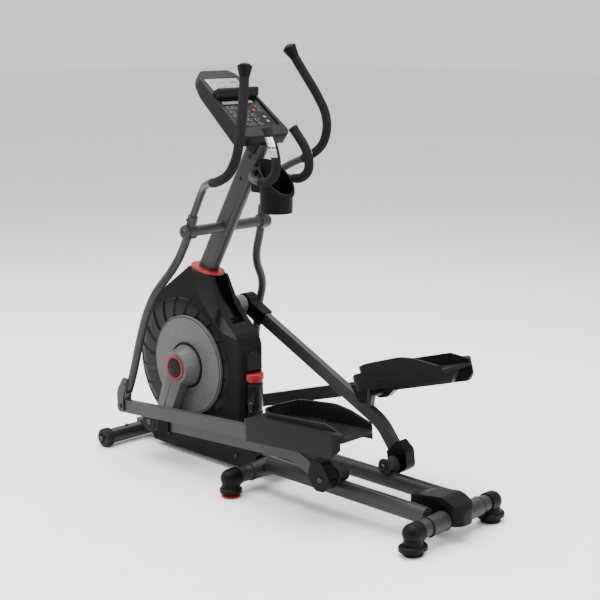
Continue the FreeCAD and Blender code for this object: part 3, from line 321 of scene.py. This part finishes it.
def ribbed_belt():
    f = Finish("belt_rubber", 0.6)
    ribs = f.add("ShaderNodeTexWave", {"bands_direction": "Y"},
                 {"Vector": f.place, "Scale": 45.0, "Distortion": 0.0}, "Fac")
    rubbed = f.noise(40, 4)
    tone = f.mix(rubbed, (0.008, 0.008, 0.008), (0.022, 0.022, 0.022))
    return f.feed(Base_Color=tone, Roughness=0.5 + rubbed * 0.2,
                  Normal=f.bump(ribs, 0.0008, 0.8))


FINISHES = {
    "mast_paint": painted("mast_paint", (0.017, 0.017, 0.018)),
    "arm_paint": painted("arm_paint", (0.018, 0.018, 0.019)),
    "frame_paint": painted("frame_paint", (0.011, 0.011, 0.0118)),
    "track_paint": track_paint(),
    "black_plastic": moulded("black_plastic", (0.0022, 0.0022, 0.0025)),
    "charcoal_plastic": moulded("charcoal_plastic", (0.0085, 0.0085, 0.009), 0.5, 900),
    "tray_plastic": moulded("tray_plastic", (0.0055, 0.0055, 0.006), 0.42, 800, 0.0004),
    "vane_plastic": moulded("vane_plastic", (0.0045, 0.0045, 0.005), 0.34, 1400, 0.00012),
    "gloss_black": glossy("gloss_black", (0.0025, 0.0025, 0.0028)),
    "silver_speckle": speckled(),
    "crank_silver": crank_silver(),
    "foam_black": foam(),
    "rubber_black": rubber("rubber_black"),
    "roller_urethane": rubber("roller_urethane", (0.009, 0.009, 0.0095)),
    "steel": bare_steel("steel", (0.5, 0.5, 0.5), 0.3, (1, 1, 0.1)),
    "black_bolt": bare_steel("black_bolt", (0.05, 0.05, 0.052), 0.34, (1, 1, 1)),
    "cast_iron": bare_steel("cast_iron", (0.16, 0.16, 0.16), 0.5, (1, 1, 1)),
    "red_plastic": red_gloss(),
    "screen_grey": lcd("screen_grey", (0.20, 0.205, 0.20), (0.13, 0.135, 0.13)),
    "screen_ink": lcd("screen_ink", (0.035, 0.037, 0.036), (0.02, 0.022, 0.021)),
    "key_legend": lcd("key_legend", (0.16, 0.16, 0.16), (0.10, 0.10, 0.10)),
    "pulse_steel": bare_steel("pulse_steel", (0.5, 0.5, 0.5), 0.34, (0.2, 1, 1)),
    "smoke_bottle": smoked(),
    "belt_rubber": ribbed_belt(),
}

# which finish each carried-over CAD node wears, and how far its edges are rounded (metres)
CAD_FINISH = {
    "front_stabiliser": ("frame_paint", 0.002), "mid_stabiliser": ("frame_paint", 0.001),
    "rear_stabiliser": ("frame_paint", 0.001), "foot_caps": ("black_plastic", 0.0015),
    "rail_left": ("track_paint", 0.0008), "rail_right": ("track_paint", 0.0008),
    "rear_cover": ("black_plastic", 0.012), "main_frame": ("frame_paint", 0.002),
    "lower_cover": ("black_plastic", 0.004), "mast": ("mast_paint", 0),
    "mast_collar": ("red_plastic", 0), "pivot_tube": ("arm_paint", 0.0015),
    "shroud_left": ("black_plastic", 0.003), "shroud_right": ("black_plastic", 0.003),
    "shroud_top": ("gloss_black", 0.003), "drive_belt": ("belt_rubber", 0),
    "console_body": ("charcoal_plastic", 0.006), "console_screen": ("screen_grey", 0),
    "key_panel": ("gloss_black", 0), "reading_ledge": ("charcoal_plastic", 0),
    "fixed_handlebar": ("arm_paint", 0), "fixed_grips": ("foam_black", 0.002),
    "cup_holder": ("black_plastic", 0), "power_inlet": ("black_plastic", 0.0008),
    "fasteners": ("black_bolt", 0.0008), "crank_axle": ("steel", 0.001),
    "crank_arm_left": ("crank_silver", 0.004), "crank_arm_right": ("crank_silver", 0.004),
    "crank_discs": ("silver_speckle", 0), "crank_caps": ("red_plastic", 0.001),
    "drive_pulley": ("cast_iron", 0.001), "flywheel": ("cast_iron", 0.002),
    "water_bottle": ("smoke_bottle", 0), "bottle_cap": ("red_plastic", 0),
    "button_start": ("key_legend", 0), "button_stop": ("red_plastic", 0),
    "button_up": ("key_legend", 0), "button_down": ("key_legend", 0),
}
for side in SIDES:
    CAD_FINISH |= {
        f"wheel_{side}": ("rubber_black", 0), f"mid_foot_{side}": ("red_plastic", 0.001),
        f"rear_foot_{side}": ("rubber_black", 0.001), f"swing_arm_{side}": ("arm_paint", 0.001),
        f"handle_tube_{side}": ("arm_paint", 0),
        f"leg_{side}": ("arm_paint", 0.002), f"leg_covers_{side}": ("black_plastic", 0.003),
        f"pedal_arm_{side}": ("arm_paint", 0.002), f"foot_plate_{side}": ("tray_plastic", 0.004),
        f"roller_{side}": ("roller_urethane", 0.001),
    }

# ---- making pieces ----------------------------------------------------------------------


def wear(obj, finish):
    obj.data.materials.clear()
    obj.data.materials.append(FINISHES[finish].material)


def show(name, bm, finish, body, rounding=0.0, sharp=32):
    """Turns a finished bmesh into a named piece on a body."""
    bmesh.ops.recalc_face_normals(bm, faces=bm.faces)
    mesh = bpy.data.meshes.new(name)
    bm.to_mesh(mesh)
    bm.free()
    mesh.polygons.foreach_set("use_smooth", [True] * len(mesh.polygons))
    mesh.set_sharp_from_angle(angle=radians(sharp))
    obj = bpy.data.objects.new(name, mesh)
    bpy.context.scene.collection.objects.link(obj)
    wear(obj, finish)
    if rounding:
        soften(obj, rounding)
    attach(obj, body)
    return obj


def soften(obj, width):
    """Rounds the sharp edges of a finished piece."""
    edge = obj.modifiers.new("rounding", "BEVEL")
    edge.width = width
    edge.segments = 2 if width < 0.004 else 4
    edge.limit_method = "ANGLE"
    edge.angle_limit = radians(38)
    edge.harden_normals = True


def rounded_copy(node, width, finish):
    """Stands in for a hard-edged CAD node with the same shape, its edges rounded."""
    bm = bmesh.new()
    bm.from_mesh(nodes[node].data)
    for layer in list(bm.loops.layers.float_vector):
        bm.loops.layers.float_vector.remove(layer)
    bmesh.ops.remove_doubles(bm, verts=bm.verts, dist=0.00002)
    bmesh.ops.dissolve_limit(bm, angle_limit=radians(0.8), verts=bm.verts, edges=bm.edges)
    obj = show(node + "_finished", bm, finish, body_of(nodes[node])[0], width)
    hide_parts(node)
    return obj


def cap_finish(obj, depth, finish):
    """Gives the top of an upright piece, down to a depth, another finish."""
    obj.data.materials.append(FINISHES[finish].material)
    top = max(v.co.z for v in obj.data.vertices)
    for polygon in obj.data.polygons:
        if polygon.center.z > top - depth:
            polygon.material_index = 1


def block(bm, size, centre):
    """Adds a box, and returns its corners."""
    verts = bmesh.ops.create_cube(bm, size=1.0)["verts"]
    bmesh.ops.scale(bm, vec=Vector(size), verts=verts)
    bmesh.ops.translate(bm, vec=Vector(centre), verts=verts)
    return verts


def edges_of(verts):
    return {edge for vert in verts for edge in vert.link_edges}


def bevel(bm, edges, width, segments=2):
    bmesh.ops.bevel(bm, geom=edges, offset=width, segments=segments, profile=0.5,
                    affect="EDGES", material=-1, clamp_overlap=True)


def towards(axis):
    """Turns +Z to an axis."""
    return Vector((0, 0, 1)).rotation_difference(Vector(axis)).to_matrix().to_4x4()


def bolt(bm, centre, axis, radius, height=0.004):
    """Button-head bolt with a round recess in its head."""
    place = Matrix.Translation(Vector(centre)) @ towards(axis)
    head = bmesh.ops.create_cone(bm, cap_ends=True, segments=24, radius1=radius,
                                 radius2=radius * 0.8, depth=height)
    verts = head["verts"]
    bmesh.ops.translate(bm, vec=(0, 0, height / 2), verts=verts)
    top = max({f for v in verts for f in v.link_faces}, key=lambda f: f.calc_center_median().z)
    rim = bmesh.ops.inset_region(bm, faces=[top], thickness=radius * 0.38, use_even_offset=True)
    socket = bmesh.ops.extrude_discrete_faces(bm, faces=[top])["faces"][0]
    bmesh.ops.translate(bm, vec=(0, 0, -height * 0.5), verts=socket.verts)
    placed = {v for f in [socket, *rim["faces"]] for v in f.verts} | set(verts)
    placed |= {v for x in list(placed) for e in x.link_edges for v in e.verts}
    bmesh.ops.transform(bm, matrix=place, verts=[v for v in placed if v.is_valid])


def hoop(bm, centre, axis, radius, thick, steps=48, section=8):
    """Round ring: a small circle spun about an axis."""
    centre = Vector(centre)
    axis = Vector(axis).normalized()
    out = axis.orthogonal().normalized()
    turn = Matrix.Translation(centre + out * radius) @ towards(axis.cross(out))
    made = bmesh.ops.create_circle(bm, segments=section, radius=thick, matrix=turn)
    edges = list(edges_of(made["verts"]))
    bmesh.ops.spin(bm, geom=edges + made["verts"], cent=centre, axis=axis, angle=2 * pi,
                   steps=steps, use_merge=True, dvec=(0, 0, 0))


# ---- the drive housing ------------------------------------------------------------------

CRANK = joint_line("crank_spin")
HOUSING = CRANK + Vector((-0.030, 0, 0))  # middle of the housing's round part
VANES = 20
VANE_ROOT = 0.150  # distance from the middle to a vane's inner end
VANE_GAP = radians(1.9)
VANE_STEP = 0.0044  # how far each vane's edge stands over the next


def shroud_vanes(side, sign):
    """Ring of curved vanes that overlap like shingles, between the disc and the housing's rim."""
    bm = bmesh.new()
    profile = [(VANE_ROOT, 0.050), (VANE_ROOT, 0.0585), (0.205, 0.0592), (0.240, 0.0590),
               (0.256, 0.0578), (0.2625, 0.0545), (0.2625, 0.050)]
    steps = 8
    sweep = 2 * pi / VANES - VANE_GAP
    verts = [bm.verts.new((HOUSING.x + r, sign * y, HOUSING.z)) for r, y in profile]
    face = bm.faces.new(verts)
    bmesh.ops.spin(bm, geom=[face], cent=HOUSING, axis=(0, 1, 0), angle=sweep, steps=steps,
                   dvec=(0, sign * VANE_STEP / steps, 0))
    bmesh.ops.recalc_face_normals(bm, faces=bm.faces)
    for vert in bm.verts:
        reach = Vector((vert.co.x - HOUSING.x, vert.co.z - HOUSING.z)).length
        lean = (reach - VANE_ROOT) ** 2 * 14
        bmesh.ops.rotate(bm, cent=HOUSING, matrix=Matrix.Rotation(lean, 3, "Y"), verts=[vert])
    one = list(bm.verts) + list(bm.edges) + list(bm.faces)
    for step in range(1, VANES):
        copy = bmesh.ops.duplicate(bm, geom=one)["geom"]
        bmesh.ops.rotate(bm, cent=HOUSING, matrix=Matrix.Rotation(2 * pi * step / VANES, 3, "Y"),
                         verts=[v for v in copy if isinstance(v, bmesh.types.BMVert)])
    return show(f"shroud_vanes_{side}", bm, "vane_plastic", "frame", 0.0009, 40)


def hub_shadow_rings():
    """Dark ring that stands for the shadow round each crank hub's dome, and the lip round each disc.
    """
    bm = bmesh.new()
    for sign in (-1, 1):
        # painted shadow: a dark ring put round the crank hub where the dome's edge falls into shade
        hoop(bm, (CRANK.x, sign * 0.0762, CRANK.z), (0, 1, 0), 0.0875, 0.0042, 64, 10)
        hoop(bm, (CRANK.x, sign * 0.0752, CRANK.z), (0, 1, 0), 0.1905, 0.0014, 96, 8)
    return show("hub_shadow_and_disc_lip_rings", bm, "black_plastic", "crank")


def hub_centres():
    """Dark grey domed centres inside the red rings."""
    bm = bmesh.new()
    for sign in (-1, 1):
        made = bmesh.ops.create_uvsphere(bm, u_segments=40, v_segments=16, radius=0.0385)
        bmesh.ops.scale(bm, vec=(1, 1, 0.1), verts=made["verts"])
        place = Matrix.Translation(CRANK + Vector((0, sign * 0.1367, 0))) @ towards((0, sign, 0))
        bmesh.ops.transform(bm, matrix=place, verts=made["verts"])
    return show("crank_centres", bm, "charcoal_plastic", "crank")


# ---- the console ------------------------------------------------------------------------

# the top edge of the console's face: X runs down the face, Y across it and Z out of it
CONSOLE = Matrix.Translation((-0.348, 0.0, 1.502)) @ Matrix.Rotation(radians(37.1), 4, "Y")


def plate(bm, along, across, length, width, low, high, corner=0.002):
    """Rounded raised panel, in the console face's own directions."""
    verts = block(bm, (length, width, high - low), (along, across, (low + high) / 2))
    upright = [e for e in edges_of(verts)
               if abs(e.verts[0].co.z - e.verts[1].co.z) > (high - low) / 2]
    bevel(bm, upright, corner, 3)


def finish_on_console(name, bm, finish):
    bmesh.ops.transform(bm, matrix=CONSOLE, verts=bm.verts)
    return show(name, bm, finish, "frame", 0.0004)


def console_keys():
    """Rows of membrane keys: dark caps on light rims."""
    rims = bmesh.new()
    caps = bmesh.new()
    outer = (-0.07, -0.045, 0.070)
    inner = (-0.07, -0.045, -0.018, 0.018)
    rows = ((0.176, outer), (0.200, (-0.07, 0.0, 0.070)), (0.222, inner), (0.246, inner),
            (0.270, inner))
    for along, places in rows:
        for across in places:
            plate(rims, along, across, 0.0145, 0.0205, -0.0055, -0.0044, 0.004)
            plate(caps, along, across, 0.0122, 0.0182, -0.0050, -0.0040, 0.0035)
    finish_on_console("key_rims", rims, "key_legend")
    finish_on_console("key_caps", caps, "charcoal_plastic")


def strip_display():
    bm = bmesh.new()
    plate(bm, 0.150, -0.01, 0.015, 0.150, -0.0055, -0.0042)
    finish_on_console("strip_display", bm, "screen_grey")


def screen_figures():
    """Dark bars of an unlit display: a row of twelve levels, and four lines beside them."""
    low, high, corner = -0.0021, -0.0018, 0.0005
    bm = bmesh.new()
    levels = (0.10, 0.22, 0.30, 0.18, 0.36, 0.26, 0.42, 0.30, 0.20, 0.34, 0.24, 0.12)
    for index, level in enumerate(levels):
        size = 0.05 * level + 0.004
        plate(bm, 0.083 - size / 2, -0.058 + 0.0085 * index, size, 0.006, low, high, corner)
    for along, across, length, width in ((0.040, -0.030, 0.003, 0.080), (0.040, 0.050, 0.008, 0.030),
                                         (0.060, 0.062, 0.006, 0.016), (0.078, 0.062, 0.006, 0.016)):
        plate(bm, along, across, length, width, low, high, corner)
    finish_on_console("screen_figures", bm, "screen_ink")


def screen_surround():
    """Thin gloss rim round the display glass."""
    low, high, corner = -0.0021, 0.0004, 0.0005
    bm = bmesh.new()
    for along in (0.0148, 0.0932):
        plate(bm, along, 0, 0.002, 0.165, low, high, corner)
    for across in (-0.0815, 0.0815):
        plate(bm, 0.054, across, 0.080, 0.002, low, high, corner)
    finish_on_console("screen_surround", bm, "gloss_black")


# ---- the foot plates --------------------------------------------------------------------

# front end of each pedal arm's centre line, and how many degrees it rises to the rear
ARM_PLACE = {"left": (Vector((-0.6381, 0, 0.2170)), 4.205),
             "right": (Vector((-0.4593, 0, 0.1596)), 16.64)}


def arm_matrix(side):
    start, pitch = ARM_PLACE[side]
    return Matrix.Translation(start) @ Matrix.Rotation(radians(-pitch), 4, "Y")


def treads(side, sign):
    """Straight anti-slip ribs across the foot well, and curved ones under the ball of the foot."""
    bm = bmesh.new()
    middle = sign * 0.1795
    for index in range(8):
        block(bm, (0.006, 0.118, 0.003), (0.985 + 0.022 * index, middle, 0.0408))
    uprights = [e for e in bm.edges if abs(e.verts[0].co.z - e.verts[1].co.z) > 0.002]
    bevel(bm, uprights, 0.0025, 3)
    thick = 0.004
    ball = Vector((0.895, middle, 0.0405))
    for index in range(6):
        radius = 0.022 + 0.014 * index
        start = bmesh.ops.create_cube(bm, size=thick)["verts"]
        bmesh.ops.translate(bm, vec=ball + Vector((0, radius, 0)), verts=start)
        end_face = [f for f in {f for v in start for f in v.link_faces}
                    if f.calc_center_median().x > ball.x + 0.0015]
        bmesh.ops.spin(bm, geom=end_face, cent=ball, axis=(0, 0, 1), angle=-pi, steps=20,
                       dvec=(0, 0, 0))
        near = [v for v in bm.verts if (v.co - ball).length < radius + 0.01]
        bmesh.ops.remove_doubles(bm, verts=near, dist=0.00005)
    bmesh.ops.transform(bm, matrix=arm_matrix(side), verts=bm.verts)
    return show(f"treads_{side}", bm, "rubber_black", f"pedal_{side}")


# ---- legs, bolts and trims --------------------------------------------------------------

# crank end of each leg's centre line, and how many degrees it rises to the rear
LEG_PLACE = {"left": (Vector((-0.5633, 0, 0.1512)), 3.633),
             "right": (Vector((-0.3727, 0, 0.6048)), -25.57)}
LEG_MIDDLE = 0.168  # how far the legs' crank ends stand out from the middle plane
ROLLER = {side: joint_line(f"{side}_roller_spin") for side in SIDES}
PIVOT = joint_line("left_swing")
RIGHT_SWING_LEAN = radians(11.0 - 24.6)  # from the left arm's place to the right arm's, at rest


def leg_ribs(side, sign):
    """Raised hoops round the sleeve that covers the crank end of the leg."""
    bm = bmesh.new()
    width = 0.0515
    for index in range(6):
        block(bm, (0.0045, width, 0.0615 - 0.0006 * index),
              (0.052 + 0.0105 * index, sign * LEG_MIDDLE, 0))
    head = bmesh.ops.create_cone(bm, cap_ends=True, segments=48, radius1=0.034, radius2=0.034,
                                 depth=width)["verts"]
    place = Matrix.Translation((0, sign * LEG_MIDDLE, 0)) @ towards((0, 1, 0))
    bmesh.ops.transform(bm, matrix=place, verts=head)
    start, pitch = LEG_PLACE[side]
    turn = Matrix.Translation(start) @ Matrix.Rotation(radians(-pitch), 4, "Y")
    bmesh.ops.transform(bm, matrix=turn, verts=bm.verts)
    return show(f"leg_ribs_{side}", bm, "black_plastic", f"leg_{side}", 0.0012)


def side_bolts(side, sign):
    """Bolt heads on the moving parts of one side."""
    out = (0, sign, 0)
    leg = bmesh.new()
    bolt(leg, LEG_PLACE[side][0] + Vector((0, sign * 0.1937, 0)), out, 0.013)
    bolt(leg, ROLLER[side] + Vector((0, sign * 0.192, 0)), out, 0.012)
    bolt(leg, ROLLER[side] + Vector((0, sign * 0.060, 0)), (0, -sign, 0), 0.012)
    show(f"leg_bolts_{side}", leg, "black_bolt", f"leg_{side}", 0.0005)
    swing = bmesh.new()
    for x, y, z, radius in ((-0.606, 0.278, 0.312, 0.008), (-0.3005, 0.2035, 0.985, 0.0055),
                            (-0.2935, 0.2035, 0.975, 0.0055)):
        bolt(swing, (x, sign * y, z), out, radius, 0.003)
    if side == "right":
        bmesh.ops.rotate(swing, cent=PIVOT, matrix=Matrix.Rotation(RIGHT_SWING_LEAN, 3, "Y"),
                         verts=swing.verts)
    show(f"swing_bolts_{side}", swing, "black_bolt", f"swing_{side}", 0.0004)


def frame_bolts():
    bm = bmesh.new()
    for sign in (-1, 1):
        bolt(bm, PIVOT + Vector((0, sign * 0.214, 0)), (0, sign, 0), 0.012)
        bolt(bm, (-0.807, sign * 0.248, 0.038), (0, sign, 0), 0.0105, 0.003)
        bolt(bm, (-0.792, sign * 0.031, 0.080), (0, 0, 1), 0.009)
    return show("frame_bolts", bm, "black_bolt", "frame", 0.0005)


def sleeve_rings():
    """Dark joint rings at the ends of the stabilisers' sleeves."""
    bm = bmesh.new()
    for sign in (-1, 1):
        for y, x, z, radius in ((0.0535, 0.807, 0.074, 0.0338), (0.1365, 0.807, 0.074, 0.0338),
                                (0.1645, -0.017, 0.070, 0.0318)):
            hoop(bm, (x, sign * y, z), (0, 1, 0), radius, 0.0016, 56, 8)
    return show("sleeve_rings", bm, "rubber_black", "frame")


PULSE_BANDS = ((1.232, 1.262), (1.267, 1.300))  # lower and upper ends of each contact


def pulse_plates():
    """Two curved metal contacts on the outer side of each fixed grip."""
    bm = bmesh.new()
    bm.from_mesh(nodes["fixed_grips"].data)
    bmesh.ops.remove_doubles(bm, verts=bm.verts, dist=0.00002)
    for height in (height for band in PULSE_BANDS for height in band):
        bmesh.ops.bisect_plane(bm, geom=bm.verts[:] + bm.edges[:] + bm.faces[:],
                               plane_co=(0, 0, height), plane_no=(0, 0, 1), dist=0.00001)
    away = []
    for face in bm.faces:
        spot = face.calc_center_median()
        outward = face.normal.y * (1 if spot.y > 0 else -1)
        banded = any(low < spot.z < high for low, high in PULSE_BANDS)
        if not banded or outward < 0.30:
            away.append(face)
    bmesh.ops.delete(bm, geom=away, context="FACES")
    for vert in bm.verts:
        vert.co += vert.normal * 0.0002
    bmesh.ops.solidify(bm, geom=bm.faces[:], thickness=-0.0009)
    return show("pulse_plates", bm, "pulse_steel", "frame", sharp=40)


def rear_panel():
    """Arched panel on the housing's rear face, over the bottle."""
    bm = bmesh.new()
    verts = block(bm, (0.006, 0.074, 0.070), (-0.1595, 0, 0.437))
    arch = [e for e in edges_of(verts)
            if min(v.co.z for v in e.verts) > 0.46 and abs(e.verts[0].co.y) > 0.03
            and abs(e.verts[0].co.x - e.verts[1].co.x) > 0.004]
    bevel(bm, arch, 0.034, 8)
    bmesh.ops.rotate(bm, cent=(-0.160, 0, 0.402), matrix=Matrix.Rotation(radians(-5), 3, "Y"),
                     verts=bm.verts)
    show("rear_panel", bm, "charcoal_plastic", "frame", 0.0015)


def bottle_trims():
    """Grey collar under the bottle's cap, and the light measuring marks on its side."""
    (left, near, foot), (right, _, _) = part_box("water_bottle")
    middle = (left + right) / 2
    collar = bmesh.new()
    made = bmesh.ops.create_cone(collar, cap_ends=True, segments=40, radius1=0.0335,
                                 radius2=0.0375, depth=0.022)
    bmesh.ops.translate(collar, vec=(middle, 0, foot + 0.1627), verts=made["verts"])
    show("bottle_collar", collar, "charcoal_plastic", "bottle", 0.0015)
    marks = bmesh.new()
    for index in range(3):
        block(marks, (0.010, 0.0008, 0.0022),
              (middle + 0.018, near + 0.0035, foot + 0.0387 + 0.032 * index))
    show("bottle_marks", marks, "key_legend", "bottle")


# ---- the studio -------------------------------------------------------------------------

def studio():
    """Pale floor, pale world and large soft lights."""
    bm = bmesh.new()
    bmesh.ops.create_grid(bm, x_segments=1, y_segments=1, size=30.0)
    mesh = bpy.data.meshes.new("floor")
    bm.to_mesh(mesh)
    bm.free()
    floor = bpy.data.objects.new("floor", mesh)
    bpy.context.scene.collection.objects.link(floor)
    f = Finish("studio_floor", 0.55, Specular_IOR_Level=0.3)
    f.feed(Base_Color=f.mix(f.noise(1.2, 2), (0.90, 0.90, 0.90), (0.93, 0.93, 0.93)))
    mesh.materials.append(f.material)
    world = bpy.data.worlds.new("studio")
    bpy.context.scene.world = world
    world.use_nodes = True
    world.node_tree.nodes["Background"].inputs["Color"].default_value = (1, 1, 1, 1)
    world.node_tree.nodes["Background"].inputs["Strength"].default_value = 1.0
    for name, spot, aim, size, power in (
            ("overhead", (0.0, 0.0, 4.6), (0, 0, 0), 5.5, 640),
            ("near_side", (-1.6, -4.0, 3.4), (0, 0, 0.7), 1.6, 80),
            ("rear", (4.4, 1.0, 2.2), (0, 0, 0.6), 1.2, 70),
            ("front", (-4.0, -1.5, 2.6), (0, 0, 0.9), 1.6, 60)):
        light = bpy.data.lights.new(name, "AREA")
        light.size = size
        light.energy = power
        lamp = bpy.data.objects.new(name, light)
        lamp.location = spot
        lamp.rotation_mode = "QUATERNION"
        lamp.rotation_quaternion = (Vector(aim) - Vector(spot)).to_track_quat("-Z", "Y")
        bpy.context.scene.collection.objects.link(lamp)


def camera():
    data = bpy.data.cameras.new("camera")
    data.lens = 81.0
    data.sensor_width = 36.0
    cam = bpy.data.objects.new("camera", data)
    cam.location = (3.450, -3.415, 1.738)
    cam.rotation_euler = (radians(77.9), 0, radians(44.6))
    bpy.context.scene.collection.objects.link(cam)
    bpy.context.scene.camera = cam


def dress_cad():
    """Gives every carried-over CAD node its finish, and rounds the hard-edged ones."""
    for side in SIDES:
        grip = rounded_copy(f"handle_grip_{side}", 0.0008, "foam_black")
        cap_finish(grip, 0.055, "black_plastic")
    for node, (finish, width) in CAD_FINISH.items():
        if width:
            rounded_copy(node, width, finish)
        else:
            wear(nodes[node], finish)


studio()
camera()
dress_cad()
for side, sign in SIDES.items():
    shroud_vanes(side, sign)
    treads(side, sign)
    leg_ribs(side, sign)
    side_bolts(side, sign)
frame_bolts()
sleeve_rings()
pulse_plates()
rear_panel()
bottle_trims()
hub_shadow_rings()
hub_centres()
console_keys()
strip_display()
screen_figures()
screen_surround()
